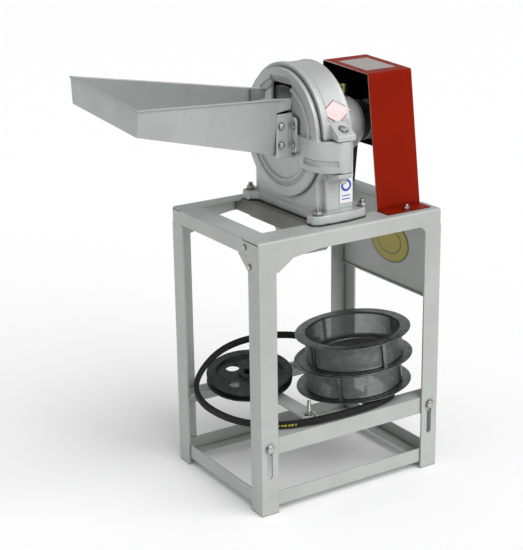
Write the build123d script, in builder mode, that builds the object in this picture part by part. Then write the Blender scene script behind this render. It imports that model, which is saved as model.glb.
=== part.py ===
from build123d import *

import os
from math import cos, pi, radians, sin, tan

os.makedirs("parts", exist_ok=True)

# Frame: +X runs from the feed tray to the belt guard, +Y to the far side, +Z up.
# The origin is on the floor, under the middle of the overall box. Lengths in mm.

# Stand
stand_length = 446
stand_width = 338
table_height = 580
tray_overhang = 234
leg_flange = 40
leg_wall = 4
top_drop = 33
long_top_flange = 60
far_top_flange = 34
front_top_flange = 46
rear_top_flange = 60
bend_radius = 6
bottom_rail_height = 16
bottom_rail_flange = 30
bottom_rail_wall = 3
rear_panel_low = 378
rear_panel_wall = 3

# Motor shelf
shelf_top = 165
shelf_drop = 36
shelf_flange = 40
shelf_wall = 3
shelf_travel = 60
shelf_gap = 0.2
shelf_bolt_height = 148
slot_width = 12
bar_width = 36
bar_wall = 4
front_bar_x = 48
rear_bar_x = 194
bar_bolt_y = 138
bar_half = 150

# Mill
axis_height = 746
seam_x = 67
drum_radius = 140
drum_back_x = 139
chamber_radius = 125
chamber_back_x = 131
pedestal_half = 127
pedestal_back_x = 148
flange_low = 582
flange_top = 600
door_radius = 131
door_front_x = 55.5
hinge_x = 104
hinge_y = -152
hinge_radius = 15
hinge_pin_radius = 6
pin_head_z = 772
knuckle_low = 687
knuckle_top = 751
clamp_x = 112
clamp_y = 150
clamp_pin_radius = 4
mouth_half = 36
mouth_low = 738
mouth_top = 861
bearing_house_radius = 56
bearing_house_end_x = 224
shaft_radius = 13
fit = 0.05

# Chamber sieve and the two spare ones
sieve_radius = 124.5
sieve_lip_radius = 101.8
screen_radius = 105
screen_wall = 1.6
sieve_width = 61
sieve_flange_wall = 2.5

# Belt guard
guard_front_x = 216
guard_back_x = 325
guard_top = 858
guard_far_rise = 8
guard_top_half = 79
guard_foot_half = 116
guard_foot_reach = 152
guard_wall = 2
guard_panel_low = 672

# Feed tray
tray_joint_x = 16
tray_roll = 4.3
tray_wall = 1.6

stand_left = (tray_overhang - stand_length) / 2
stand_right = stand_left + stand_length
side = stand_width / 2
inner_face = side - leg_wall


def save(piece, name):
    piece.part.label = name
    export_step(piece.part, f"parts/{name}.step")


def angle_points(u, v, du, dv, wall):
    """Outline of an angle section with its outer corner at (u, v)."""
    wall_u = wall if du > 0 else -wall
    wall_v = wall if dv > 0 else -wall
    return [
        (u, v),
        (u + du, v),
        (u + du, v + wall_v),
        (u + wall_u, v + wall_v),
        (u + wall_u, v + dv),
        (u, v + dv),
    ]


def cut_holes(plane, points, radius, reach):
    """Cuts round holes in the part being built, both ways from the plane."""
    with BuildSketch(plane) as holes:
        with Locations(*points):
            Circle(radius)
    extrude(holes.sketch, amount=reach, both=True, mode=Mode.SUBTRACT)


def cut_box(low, high):
    """Cuts a box given by its low and high corners."""
    size = [b - a for a, b in zip(low, high)]
    with Locations(tuple((a + b) / 2 for a, b in zip(low, high))):
        Box(*size, mode=Mode.SUBTRACT)


def add_box(low, high):
    """Adds a box given by its low and high corners."""
    size = [b - a for a, b in zip(low, high)]
    with Locations(tuple((a + b) / 2 for a, b in zip(low, high))):
        Box(*size)


def bolt_set(thread_radius, flats, head, grip, tail):
    """Hex bolt along +Z: its head ends at z = 0 and its washer and nut start at z = grip."""
    washer = 1.5
    with BuildPart() as bolt:
        with BuildSketch(Plane.XY.offset(-head)):
            RegularPolygon(flats / 2, 6, major_radius=False)
        extrude(amount=head)
        with BuildSketch(Plane.XY):
            Circle(thread_radius)
        extrude(amount=grip + washer + head + tail)
        with BuildSketch(Plane.XY.offset(grip)):
            Circle(flats * 0.6)
        extrude(amount=washer)
        with BuildSketch(Plane.XY.offset(grip + washer)):
            RegularPolygon(flats / 2, 6, major_radius=False)
        extrude(amount=head)
    return bolt.part


def place_all(name, shape, places):
    """Writes one node that holds a copy of the shape at each place."""
    with BuildPart() as group:
        with Locations(*places):
            add(shape)
    save(group, name)


# ---------------------------------------------------------------- stand

corners = {
    "near_front": (-1, -1),
    "near_rear": (1, -1),
    "far_front": (-1, 1),
    "far_rear": (1, 1),
}
end_x = {-1: stand_left, 1: stand_right}
gusset_wall = 3
gusset_leg_bolt = (33, 526)
gusset_rail_bolt = (50, 562)
clamp_bolt_inset = 20
slot_low = 80
slot_high = 156
m6_hole = 3.4

for place, (end, flank) in corners.items():
    x0 = end_x[end]
    y0 = flank * side
    with BuildPart() as leg:
        with BuildSketch() as leg_section:
            with BuildLine():
                Polyline(*angle_points(x0, y0, -end * leg_flange, -flank * leg_flange, leg_wall), close=True)
            make_face()
        extrude(amount=table_height - top_drop)
        with BuildSketch(Plane.XZ.offset(-y0)) as slot:
            with Locations((x0 - end * clamp_bolt_inset, (slot_low + slot_high) / 2)):
                SlotOverall(slot_high - slot_low, slot_width, rotation=90)
        extrude(amount=2 * leg_wall, both=True, mode=Mode.SUBTRACT)
        if place == "near_front":
            bolt_u, bolt_z = gusset_leg_bolt
            cut_holes(Plane.YZ.offset(x0), [(y0 - flank * bolt_u, bolt_z)], m6_hole, 2 * leg_wall)
    save(leg, f"leg_{place}")

base_bolt_x = (61, 174)
base_bolt_y = (125, 119)
base_bolt_radius = 5
guard_bolt_x = 272
guard_bolt_y = 140
m8_hole = 4.4
end_round = 3
front_web = [(40, 548), (40, 515), (46, 515), (80, 539), (150, 548)]
rear_web = [(40, 548), (40, 535), (45, 541), (53, 548)]

for flank, name in ((-1, "near"), (1, "far")):
    top_flange = long_top_flange if flank < 0 else far_top_flange
    with BuildPart() as top_rail:
        with BuildSketch(Plane.YZ.offset(stand_left)) as rail_section:
            with BuildLine():
                Polyline(
                    *angle_points(flank * side, table_height, -flank * top_flange, -top_drop, leg_wall),
                    close=True,
                )
            make_face()
            outer = rail_section.vertices().sort_by_distance(Vector(flank * side, table_height))[0]
            fillet(outer, bend_radius)
        extrude(amount=stand_length)
        with BuildSketch(Plane.XZ.offset(-flank * inner_face)) as corner_webs:
            for end, web in ((-1, front_web), (1, rear_web)):
                with BuildLine():
                    Polyline(*[(end_x[end] - end * u, z) for u, z in web], close=True)
                make_face()
        extrude(amount=-flank * leg_wall)
        if flank > 0:
            add_box((48.2, 105, table_height - leg_wall), (205, side - far_top_flange + 1, table_height))
        base_holes = [(x, flank * y) for x, y in zip(base_bolt_x, base_bolt_y)]
        cut_holes(Plane.XY.offset(table_height), base_holes, base_bolt_radius + 0.5, 10)
        cut_holes(Plane.XY.offset(table_height), [(guard_bolt_x, flank * guard_bolt_y)], m8_hole, 10)
        top_ends = top_rail.edges().filter_by(Axis.Y).filter_by(lambda e: e.center().Z > table_height - 0.1)
        fillet(top_ends, end_round)
    save(top_rail, f"top_rail_{name}")

short_half = side - long_top_flange
for end, name, flange in ((-1, "front", front_top_flange), (1, "rear", rear_top_flange)):
    x0 = end_x[end]
    with BuildPart() as short_rail:
        with BuildSketch(Plane.XZ.offset(short_half)) as rail_section:
            with BuildLine():
                Polyline(*angle_points(x0, table_height, -end * flange, -top_drop, leg_wall), close=True)
            make_face()
            outer = rail_section.vertices().sort_by_distance(Vector(x0, table_height))[0]
            fillet(outer, bend_radius)
        extrude(amount=far_top_flange - side - short_half)
        inner_x = x0 - end * leg_wall
        add_box(
            (min(x0, inner_x), -inner_face, table_height - top_drop),
            (max(x0, inner_x), inner_face, table_height - bend_radius),
        )
        if end < 0:
            bolt_u, bolt_z = gusset_rail_bolt
            cut_holes(Plane.YZ.offset(x0), [(bolt_u - side, bolt_z)], m6_hole, 2 * leg_wall)
    save(short_rail, f"top_rail_{name}")

for flank, name in ((-1, "near"), (1, "far")):
    with BuildPart() as low_rail:
        with BuildSketch(Plane.YZ.offset(stand_left + leg_wall)):
            with BuildLine():
                Polyline(
                    *angle_points(
                        flank * inner_face,
                        bottom_rail_height,
                        -flank * bottom_rail_flange,
                        bottom_rail_flange,
                        bottom_rail_wall,
                    ),
                    close=True,
                )
            make_face()
        extrude(amount=stand_length - 2 * leg_wall)
    save(low_rail, f"bottom_rail_{name}")

for end, name in ((-1, "front"), (1, "rear")):
    cross_half = inner_face - bottom_rail_flange
    with BuildPart() as low_rail:
        with BuildSketch(Plane.XZ.offset(cross_half)):
            with BuildLine():
                Polyline(
                    *angle_points(
                        end_x[end] - end * leg_wall,
                        bottom_rail_height,
                        -end * bottom_rail_flange,
                        bottom_rail_flange,
                        bottom_rail_wall,
                    ),
                    close=True,
                )
            make_face()
        extrude(amount=-2 * cross_half)
    save(low_rail, f"bottom_rail_{name}")

# Corner gusset: a triangular plate inside the near front corner, under the front rail.
gusset_outline = [(8, 574), (88, 574), (81, 541), (39, 506), (8, 506)]
gusset_holes = [(u - side, z) for u, z in (gusset_leg_bolt, gusset_rail_bolt)]
with BuildPart() as corner_gusset:
    with BuildSketch(Plane.YZ.offset(stand_left + leg_wall)):
        with BuildLine():
            Polyline(*[(u - side, z) for u, z in gusset_outline], close=True)
        make_face()
        with Locations(*gusset_holes):
            Circle(m6_hole, mode=Mode.SUBTRACT)
    extrude(amount=gusset_wall)
save(corner_gusset, "corner_gusset")

gusset_bolt = bolt_set(3, 10, 4, leg_wall + gusset_wall, 3)
place_all("gusset_bolts", gusset_bolt, [Location((stand_left, y, z), (0, 90, 0)) for y, z in gusset_holes])

with BuildPart() as rear_panel:
    panel_x = stand_right - leg_wall - rear_panel_wall
    panel_half = inner_face - 1
    add_box((panel_x, -panel_half, rear_panel_low), (panel_x + rear_panel_wall, panel_half, 575.9))
    add_box((panel_x - 5, -panel_half, rear_panel_low), (panel_x, panel_half, rear_panel_low + 3))
save(rear_panel, "rear_panel")

# Cross plate under the front edge of the mill, with its lower edge rolled inwards.
cross_plate_x = 45
cross_plate_roll = 15
with BuildPart() as cross_plate:
    plate_low = table_height - top_drop
    with BuildSketch(Plane.XZ.offset(short_half - 0.2)) as plate_section:
        with BuildLine():
            Polyline(
                (cross_plate_x, plate_low),
                (cross_plate_x, table_height),
                (cross_plate_x + 33, table_height),
                (cross_plate_x + 33, table_height - 3),
                (cross_plate_x + 3, table_height - 3),
                (cross_plate_x + 3, plate_low + 3),
                (cross_plate_x + 24, plate_low + 3),
                (cross_plate_x + 24, plate_low),
                close=True,
            )
        make_face()
        fillet(plate_section.vertices().group_by(Axis.X)[0], 2.5)
    extrude(amount=0.4 - short_half - 105)
    add_box((cross_plate_x, 104, plate_low + 3), (cross_plate_x + 3, side - far_top_flange - 0.2, table_height))
    add_box((cross_plate_x, -inner_face + 1, plate_low + 3), (cross_plate_x + 3, inner_face - 1, table_height - leg_wall))
save(cross_plate, "mill_cross_plate")

chute_top = table_height - 0.5
chute_low = 495
with BuildPart() as discharge_chute:
    with BuildSketch(Plane.XY.offset(chute_low)):
        with Locations((112, 0)):
            Rectangle(52, 92)
    with BuildSketch(Plane.XY.offset(chute_top)):
        with Locations((112, 0)):
            Rectangle(66, 206)
    loft()
    with BuildSketch(Plane.XY.offset(chute_low)):
        with Locations((112, 0)):
            Rectangle(48, 88)
    with BuildSketch(Plane.XY.offset(chute_top)):
        with Locations((112, 0)):
            Rectangle(62, 202)
    loft(mode=Mode.SUBTRACT)
save(discharge_chute, "discharge_chute")

# ---------------------------------------------------------------- motor shelf

shelf_face = inner_face - shelf_gap
shelf_end_gap = 5
for flank, name in ((-1, "near"), (1, "far")):
    with BuildPart() as shelf_rail:
        with BuildSketch(Plane.YZ.offset(stand_left + shelf_end_gap)):
            with BuildLine():
                Polyline(
                    *angle_points(flank * shelf_face, shelf_top, -flank * shelf_flange, -shelf_drop, shelf_wall),
                    close=True,
                )
            make_face()
        extrude(amount=stand_length - 2 * shelf_end_gap)
        clamp_points = [(end_x[end] - end * clamp_bolt_inset, shelf_bolt_height) for end in (-1, 1)]
        cut_holes(Plane.XZ.offset(-flank * shelf_face), clamp_points, 5.5, 6)
        bar_points = [(x, flank * bar_bolt_y) for x in (front_bar_x, rear_bar_x)]
        cut_holes(Plane.XY.offset(shelf_top), bar_points, m8_hole, 6)
    save(shelf_rail, f"shelf_rail_{name}")

motor_slot_y = 111
with BuildPart() as shelf_bars:
    with BuildSketch(Plane.XY.offset(shelf_top)):
        for bar_x in (front_bar_x, rear_bar_x):
            with Locations((bar_x, 0)):
                Rectangle(bar_width, 2 * bar_half)
            with Locations((bar_x, -bar_bolt_y), (bar_x, bar_bolt_y)):
                Circle(m8_hole, mode=Mode.SUBTRACT)
            with Locations((bar_x, -motor_slot_y), (bar_x, motor_slot_y)):
                SlotOverall(26, 9, mode=Mode.SUBTRACT)
    extrude(amount=bar_wall)
save(shelf_bars, "shelf_bars")

clamp_grip = leg_wall + 2 * shelf_gap + shelf_wall
clamp_bolt = bolt_set(5, 16, 6.5, clamp_grip, 6)
with BuildPart() as clamp_with_washer:
    add(clamp_bolt)
    with BuildSketch(Plane.XY.offset(-1.5)):
        Circle(10)
    extrude(amount=1.5)
clamp_places = []
for end, flank in corners.values():
    turn = -90 if flank < 0 else 90
    clamp_places.append(
        Location(
            (end_x[end] - end * clamp_bolt_inset, flank * (side + shelf_gap), shelf_bolt_height),
            (turn, 0, 0),
        )
    )
place_all("shelf_clamp_bolts", clamp_with_washer.part, clamp_places)

bar_bolt = bolt_set(4, 13, 5, shelf_wall + bar_wall, 3)
bar_places = [
    Location((x, y, shelf_top - shelf_wall)) for x in (front_bar_x, rear_bar_x) for y in (-bar_bolt_y, bar_bolt_y)
]
place_all("bar_bolts", bar_bolt, bar_places)

motor_bolt = bolt_set(4, 13, 5, bar_wall, 24)
motor_places = [Location((x, -motor_slot_y, shelf_top)) for x in (front_bar_x, rear_bar_x)]
place_all("motor_bolts", motor_bolt, motor_places)

# Drive belt: a closed loop that lies round the loose pulley and under the sieves.
belt_radius = 6
belt_points = [
    (-97, -66, 172),
    (-52, -126, 174),
    (-3, -149, 176),
    (56, -157, 176),
    (115, -160, 176),
    (175, -157, 176),
    (231, -146, 176),
    (269, -115, 174),
    (286, -59, 172),
    (290, 5, 172),
    (290, 62, 171),
    (281, 103, 182),
    (222, 128, 228),
    (142, 125, 254),
    (60, 123, 265),
    (-14, 121, 260),
    (-65, 118, 233),
    (-103, 106, 196),
    (-112, 61, 174),
    (-110, -2, 172),
]


def tangent_radii(points):
    """Largest smooth radius at each corner of the closed route."""
    radii = []
    for i, here in enumerate(points):
        back = Vector(*points[i - 1]) - Vector(*here)
        ahead = Vector(*points[(i + 1) % len(points)]) - Vector(*here)
        turn = radians(180 - back.get_angle(ahead))
        radii.append(0.45 * min(back.length, ahead.length) / tan(turn / 2))
    return radii


def rounded_loop(points):
    """Straight runs joined by tangent arcs, as a list of edges of a closed route."""
    radii = tangent_radii(points)
    cuts = []
    for i, here in enumerate(points):
        corner = Vector(*here)
        back = (Vector(*points[i - 1]) - corner)
        ahead = (Vector(*points[(i + 1) % len(points)]) - corner)
        turn = radians(180 - back.get_angle(ahead))
        set_back = radii[i] * tan(turn / 2)
        start = corner + back.normalized() * set_back
        end = corner + ahead.normalized() * set_back
        bisector = (back.normalized() + ahead.normalized()).normalized()
        middle = corner + bisector * (radii[i] / cos(turn / 2) - radii[i])
        cuts.append((start, middle, end))
    edges = []
    for i, (start, middle, end) in enumerate(cuts):
        edges.append(Edge.make_three_point_arc(start, middle, end))
        edges.append(Edge.make_line(end, cuts[(i + 1) % len(cuts)][0]))
    return edges


belt_edges = rounded_loop(belt_points)
print("belt length", round(sum(edge.length for edge in belt_edges)))
print("belt radii", [round(radius) for radius in tangent_radii(belt_points)])
with BuildPart() as drive_belt:
    for edge in belt_edges:
        with BuildSketch(Plane(origin=edge @ 0, z_dir=edge % 0)) as belt_section:
            Circle(belt_radius)
        sweep(sections=belt_section.sketch, path=edge, clean=False)
save(drive_belt, "drive_belt")
belt_length = sum(edge.length for edge in belt_edges)
print("belt volume ratio", drive_belt.part.volume / (belt_length * pi * belt_radius**2))

# ---------------------------------------------------------------- loose parts on the shelf

pulley_plane = Plane(origin=(18, 74, 211), z_dir=(-0.10, -0.131, 1))
pulley_radius = 93
pulley_width = 20
groove_half = 8
groove_depth = 12
with BuildPart() as motor_pulley:
    with BuildSketch(pulley_plane.offset(-pulley_width)):
        Circle(pulley_radius)
        Circle(pulley_radius - 20, mode=Mode.SUBTRACT)
    extrude(amount=pulley_width)
    with BuildSketch(pulley_plane.offset(-14)):
        Circle(pulley_radius - 19)
        with PolarLocations(47, 4, start_angle=20):
            Circle(15, mode=Mode.SUBTRACT)
    extrude(amount=7)
    with BuildSketch(pulley_plane.offset(-36)):
        Circle(23)
    extrude(amount=35)
    with BuildSketch(pulley_plane.offset(-36)):
        Circle(12)
        with Locations((12, 0)):
            Rectangle(8, 8)
    extrude(amount=40, mode=Mode.SUBTRACT)
    side_plane = Plane(origin=pulley_plane.origin, x_dir=pulley_plane.x_dir, z_dir=pulley_plane.y_dir)
    with BuildSketch(side_plane):
        with BuildLine():
            middle = pulley_width / 2
            Polyline(
                (pulley_radius + 1, middle + groove_half),
                (pulley_radius - groove_depth, middle + groove_half - 4),
                (pulley_radius - groove_depth, middle - groove_half + 4),
                (pulley_radius + 1, middle - groove_half),
                close=True,
            )
        make_face()
    revolve(axis=Axis(pulley_plane.origin, pulley_plane.z_dir), mode=Mode.SUBTRACT)
save(motor_pulley, "motor_pulley")


def make_sieve(plane, frame_name, screen_name, turn):
    """Ring sieve standing on the plane: two flanges joined by four bars, and its screen."""
    with BuildPart() as frame:
        for height in (0, sieve_width - sieve_flange_wall):
            with BuildSketch(plane.offset(height)) as ring:
                Circle(sieve_radius)
                Circle(sieve_lip_radius, mode=Mode.SUBTRACT)
            extrude(ring.sketch, amount=sieve_flange_wall)
        with BuildSketch(plane.offset(sieve_flange_wall)) as bars:
            with PolarLocations(screen_radius + 2, 4, start_angle=turn):
                Rectangle(4, 8)
        extrude(bars.sketch, amount=sieve_width - 2 * sieve_flange_wall)
        with BuildSketch(plane.offset(sieve_flange_wall)) as inside:
            Circle(screen_radius)
        extrude(inside.sketch, amount=sieve_width - 2 * sieve_flange_wall, mode=Mode.SUBTRACT)
    save(frame, frame_name)
    with BuildPart() as screen:
        with BuildSketch(plane.offset(sieve_flange_wall)) as wall:
            Circle(screen_radius)
            Circle(screen_radius - screen_wall, mode=Mode.SUBTRACT)
        extrude(wall.sketch, amount=sieve_width - 2 * sieve_flange_wall)
    save(screen, screen_name)


lower_plane = Plane(origin=(213.5, -40, 181), x_dir=(1, 0, 0.079), z_dir=(-0.079, 0.05, 1))
upper_plane = Plane(
    origin=lower_plane.from_local_coords((6.5, -4, sieve_width)),
    x_dir=lower_plane.x_dir,
    z_dir=lower_plane.z_dir,
)
make_sieve(lower_plane, "lower_sieve_frame", "lower_sieve_screen", 39.5)
make_sieve(upper_plane, "upper_sieve_frame", "upper_sieve_screen", 1)

with BuildPart() as spare_disc:
    disc_plane = upper_plane.offset(sieve_flange_wall)
    with BuildSketch(disc_plane):
        Circle(103.2)
        Circle(13, mode=Mode.SUBTRACT)
    extrude(amount=5)
    with BuildSketch(disc_plane.offset(5)):
        Circle(84)
        Circle(76, mode=Mode.SUBTRACT)
        Circle(34)
        Circle(13, mode=Mode.SUBTRACT)
    extrude(amount=3)
save(spare_disc, "spare_disc")

# ---------------------------------------------------------------- mill body

mill_axis = Axis((0, 0, axis_height), (1, 0, 0))


def yz(x):
    """Sketch plane across the mill axis, with its middle on the axis."""
    return Plane(origin=(x, 0, axis_height), x_dir=(0, 1, 0), z_dir=(1, 0, 0))


def flange_outline():
    """Half of the base flange, from the front recess round the ear to the back."""
    return [(64, 94), (54, 106), (44, 110), (44, 131), (58, 140), (120, 142), (170, 135), (184, 118)]


with BuildPart() as base_gasket:
    half = flange_outline()
    with BuildSketch(Plane.XY.offset(table_height)) as pad:
        with BuildLine():
            Polyline(*half, *[(x, -y) for x, y in reversed(half)], close=True)
        make_face()
        fillet(pad.vertices(), 6)
        with Locations((112, 0)):
            Rectangle(58, 186, mode=Mode.SUBTRACT)
        with Locations(*[(x, s * y) for x, y in zip(base_bolt_x, base_bolt_y) for s in (-1, 1)]):
            Circle(base_bolt_radius + 0.5, mode=Mode.SUBTRACT)
    extrude(amount=flange_low - table_height)
save(base_gasket, "base_gasket")

lug_back_x = pedestal_back_x - 2
with BuildPart() as housing:
    with BuildSketch(Plane.XY.offset(flange_low)) as foot:
        with BuildLine():
            Polyline(*half, *[(x, -y) for x, y in reversed(half)], close=True)
        make_face()
        fillet(foot.vertices(), 6)
    extrude(amount=flange_top - flange_low)
    # Pedestal with straight sides, from the base flange to the axis.
    with BuildSketch(Plane.XY.offset(flange_top - 1)) as column:
        with Locations(((seam_x + pedestal_back_x) / 2 + 7, 0)):
            RectangleRounded(pedestal_back_x - seam_x - 14, 2 * pedestal_half, 5)
    extrude(amount=axis_height - flange_top - 10)
    with BuildSketch(Plane.XY.offset(flange_top - 1)) as front_skirt:
        with Locations((seam_x + 20, 0)):
            Rectangle(40, 2 * 112)
    extrude(amount=70)
    # Drum with a raised front ring and a rounded back edge.
    with BuildSketch(yz(seam_x)):
        Circle(drum_radius)
    extrude(amount=drum_back_x - seam_x)
    back_rim = housing.edges().filter_by(GeomType.CIRCLE)
    back_rim = [e for e in back_rim if abs(e.center().X - drum_back_x) < 0.1 and e.radius > 130]
    fillet(back_rim, 9)
    # Hinge lugs above and below the door's knuckle, tapering into the drum and the pedestal.
    lugs = [
        (124, [(-112, 751.3), (-167, 751.3), (-167, 762), (-132, 788), (-112, 792)]),
        (118, [(-112, 686.7), (-167, 686.7), (-167, 678), (-127, 663), (-112, 660)]),
    ]
    for back_x, lug_outline in lugs:
        with BuildSketch(Plane.YZ.offset(82)):
            with BuildLine():
                Polyline(*lug_outline, close=True)
            make_face()
        extrude(amount=back_x - 82)
    # Far lug that carries the swing bolt.
    add_box((100, 118, axis_height - 14), (124, 162, axis_height + 14))
    cut_box((99, 139, axis_height - 6.3), (125, 163, axis_height + 6.3))
    cut_holes(Plane.XY.offset(axis_height), [(clamp_x, clamp_y)], clamp_pin_radius, 20)
    # Hollows: grinding chamber, shaft hole, discharge and base opening.
    with BuildSketch(yz(seam_x - 1)):
        Circle(chamber_radius)
    extrude(amount=chamber_back_x - seam_x + 1, mode=Mode.SUBTRACT)
    with BuildSketch(yz(seam_x)):
        Circle(32)
    extrude(amount=100, mode=Mode.SUBTRACT)
    cut_box((83, -93, flange_low - 1), (138, 93, axis_height - 60))
    # Flat that the door's arm lies against, and undercut for its knuckle over the whole swing.
    cut_box((seam_x - 1, -175, knuckle_low - 0.3), (hinge_x, hinge_y + hinge_radius - 1.2, knuckle_top + 0.3))
    with BuildSketch(Plane.XY.offset(knuckle_low - 0.3)):
        with Locations((hinge_x, hinge_y)):
            Circle(hinge_radius + 0.5)
    extrude(amount=knuckle_top - knuckle_low + 0.6, mode=Mode.SUBTRACT)
    cut_holes(Plane.XY.offset(720), [(hinge_x, hinge_y)], hinge_pin_radius, 70)
    with BuildSketch(Plane.XY.offset(pin_head_z)):
        with Locations((hinge_x, hinge_y)):
            Circle(10)
    extrude(amount=40, mode=Mode.SUBTRACT)
    base_points = [(x, s * y) for x, y in zip(base_bolt_x, base_bolt_y) for s in (-1, 1)]
    cut_holes(Plane.XY.offset(flange_low), base_points, base_bolt_radius + 0.5, 19)
save(housing, "mill_housing")

base_bolt = bolt_set(base_bolt_radius, 16, 6.5, flange_top - table_height + leg_wall, 7)
base_places = [Location((x, y, table_height - leg_wall)) for x, y in base_points]
place_all("base_bolts", base_bolt, base_places)

with BuildPart() as bearing_housing:
    with BuildSketch(yz(drum_back_x)):
        Circle(bearing_house_radius)
    extrude(amount=bearing_house_end_x - drum_back_x)
    fillet(bearing_housing.faces().sort_by(Axis.X)[-1].edges(), 5)
    with BuildSketch(yz(drum_back_x)):
        Circle(31)
    extrude(amount=bearing_house_end_x - drum_back_x, mode=Mode.SUBTRACT)
    cut_holes(Plane.XY.offset(axis_height + 50), [(210, 0)], 4, 20)
    cover_points = [(42 * cos(radians(a)), 42 * sin(radians(a))) for a in (45, 135, 225, 315)]
    cut_holes(yz(bearing_house_end_x), cover_points, 2.6, 14)
    # Pedestal clearance: the casting sits above the pedestal's back edge.
    cut_box((drum_back_x - 1, -60, axis_height - 70), (pedestal_back_x + 0.2, 60, axis_height - 9.5))
save(bearing_housing, "bearing_housing")

with BuildPart() as shaft_bearings:
    for start in (150, 202):
        with BuildSketch(yz(start)):
            Circle(31)
            Circle(shaft_radius + fit, mode=Mode.SUBTRACT)
        extrude(amount=16)
        with BuildSketch(yz(start)):
            Circle(25)
            Circle(19, mode=Mode.SUBTRACT)
        extrude(amount=1.5, mode=Mode.SUBTRACT)
save(shaft_bearings, "shaft_bearings")

with BuildPart() as bearing_cover:
    with BuildSketch(yz(bearing_house_end_x)):
        Circle(50)
        Circle(shaft_radius + 1, mode=Mode.SUBTRACT)
        with Locations(*cover_points):
            Circle(2.6, mode=Mode.SUBTRACT)
    extrude(amount=6)
save(bearing_cover, "bearing_cover")

with BuildPart() as screw_blank:
    with BuildSketch(Plane.YZ):
        Circle(2.5)
    extrude(amount=12)
    with BuildSketch(Plane.YZ.offset(12)):
        RegularPolygon(4, 6, major_radius=False)
    extrude(amount=3.5)
screw_x = bearing_house_end_x + 6 - 12
place_all(
    "cover_screws",
    screw_blank.part,
    [Location((screw_x, y, axis_height + z)) for y, z in cover_points],
)

with BuildPart() as shaft_seal:
    with BuildSketch(yz(chamber_back_x)):
        Circle(32)
        Circle(shaft_radius + fit, mode=Mode.SUBTRACT)
    extrude(amount=drum_back_x - chamber_back_x)
save(shaft_seal, "shaft_seal")

cup_x = 210
cup_base = axis_height + bearing_house_radius
with BuildPart() as grease_cup:
    with BuildSketch(Plane.XY.offset(cup_base - 10)):
        with Locations((cup_x, 0)):
            Circle(4)
    extrude(amount=12)
    with BuildSketch(Plane.XY.offset(cup_base)):
        with Locations((cup_x, 0)):
            RegularPolygon(7, 6, major_radius=False)
    extrude(amount=6)
    with BuildSketch(Plane.XY.offset(cup_base + 6)):
        with Locations((cup_x, 0)):
            Circle(8)
    extrude(amount=8)
save(grease_cup, "grease_cup")

with BuildPart() as grease_cap:
    with BuildSketch(Plane.XY.offset(cup_base + 10)):
        with Locations((cup_x, 0)):
            Circle(10)
    extrude(amount=16)
    chamfer(grease_cap.faces().sort_by(Axis.Z)[-1].edges(), 2)
    with BuildSketch(Plane.XY.offset(cup_base + 9)):
        with Locations((cup_x, 0)):
            Circle(8 + fit)
    extrude(amount=5 + fit, mode=Mode.SUBTRACT)
save(grease_cap, "grease_cap")

with BuildPart() as hinge_pin:
    with BuildSketch(Plane.XY.offset(664)):
        with Locations((hinge_x, hinge_y)):
            Circle(hinge_pin_radius)
    extrude(amount=pin_head_z - 664)
    with BuildSketch(Plane.XY.offset(pin_head_z)):
        with Locations((hinge_x, hinge_y)):
            Circle(9)
    extrude(amount=4)
save(hinge_pin, "hinge_pin")

# The working sieve stands on edge round the claws.
make_sieve(yz(seam_x + 1.2), "chamber_sieve_frame", "chamber_sieve_screen", 0)

# ---------------------------------------------------------------- belt guard

with BuildPart() as belt_guard:
    with BuildSketch(Plane.YZ.offset(guard_front_x)) as hoop:
        foot_z = table_height + guard_wall
        right = [
            (guard_foot_reach, table_height),
            (guard_foot_reach, foot_z),
            (guard_foot_half, foot_z),
            (guard_top_half, guard_top + guard_far_rise),
        ]
        inner = [
            (guard_top_half - guard_wall, guard_top + guard_far_rise - guard_wall),
            (guard_foot_half - guard_wall, table_height),
        ]
        with BuildLine():
            mirrored = [(-y, min(z, guard_top)) for y, z in reversed(right)]
            mirrored_inner = [(-y, min(z, guard_top - guard_wall)) for y, z in reversed(inner)]
            Polyline(*right, *mirrored, *mirrored_inner, *inner, close=True)
        make_face()
        bends = [v for v in hoop.vertices() if v.Y > guard_top - 1]
        fillet(bends, 4)
    extrude(amount=guard_back_x - guard_front_x)
    slope = (guard_foot_half - guard_top_half) / (guard_top - foot_z)
    low_half = guard_top_half + slope * (guard_top - guard_panel_low) - guard_wall / 2
    with BuildSketch(Plane.YZ.offset(guard_back_x - guard_wall)):
        with BuildLine():
            Polyline(
                (-low_half, guard_panel_low),
                (low_half, guard_panel_low),
                (guard_top_half - 1, guard_top + guard_far_rise - 1),
                (1 - guard_top_half, guard_top - 1),
                close=True,
            )
        make_face()
    extrude(amount=guard_wall)
    guard_points = [(guard_bolt_x, s * guard_bolt_y) for s in (-1, 1)]
    cut_holes(Plane.XY.offset(table_height), guard_points, m8_hole, 5)
save(belt_guard, "belt_guard")

guard_bolt = bolt_set(4, 13, 5, leg_wall + guard_wall, 4)
guard_places = [Location((x, y, table_height - leg_wall)) for x, y in guard_points]
place_all("guard_bolts", guard_bolt, guard_places)

# ---------------------------------------------------------------- rotor

stub_radius = 9
disc_x = 104
disc_wall = 10
shaft_end_x = 300
with BuildPart() as main_shaft:
    with BuildSketch(yz(86)):
        Circle(stub_radius)
    extrude(amount=disc_x + disc_wall - 86)
    with BuildSketch(yz(disc_x + disc_wall)):
        Circle(shaft_radius)
    extrude(amount=282 - disc_x - disc_wall)
    with BuildSketch(yz(282)):
        Circle(stub_radius)
    extrude(amount=shaft_end_x - 282)
    cut_box((252, -3, axis_height + 9), (278, 3, axis_height + 20))
save(main_shaft, "main_shaft")

hammer_count = 4
pin_count = 6
with BuildPart() as claw_disc:
    with BuildSketch(yz(disc_x)):
        Circle(92)
        Circle(stub_radius, mode=Mode.SUBTRACT)
    extrude(amount=disc_wall)
save(claw_disc, "claw_disc")

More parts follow.
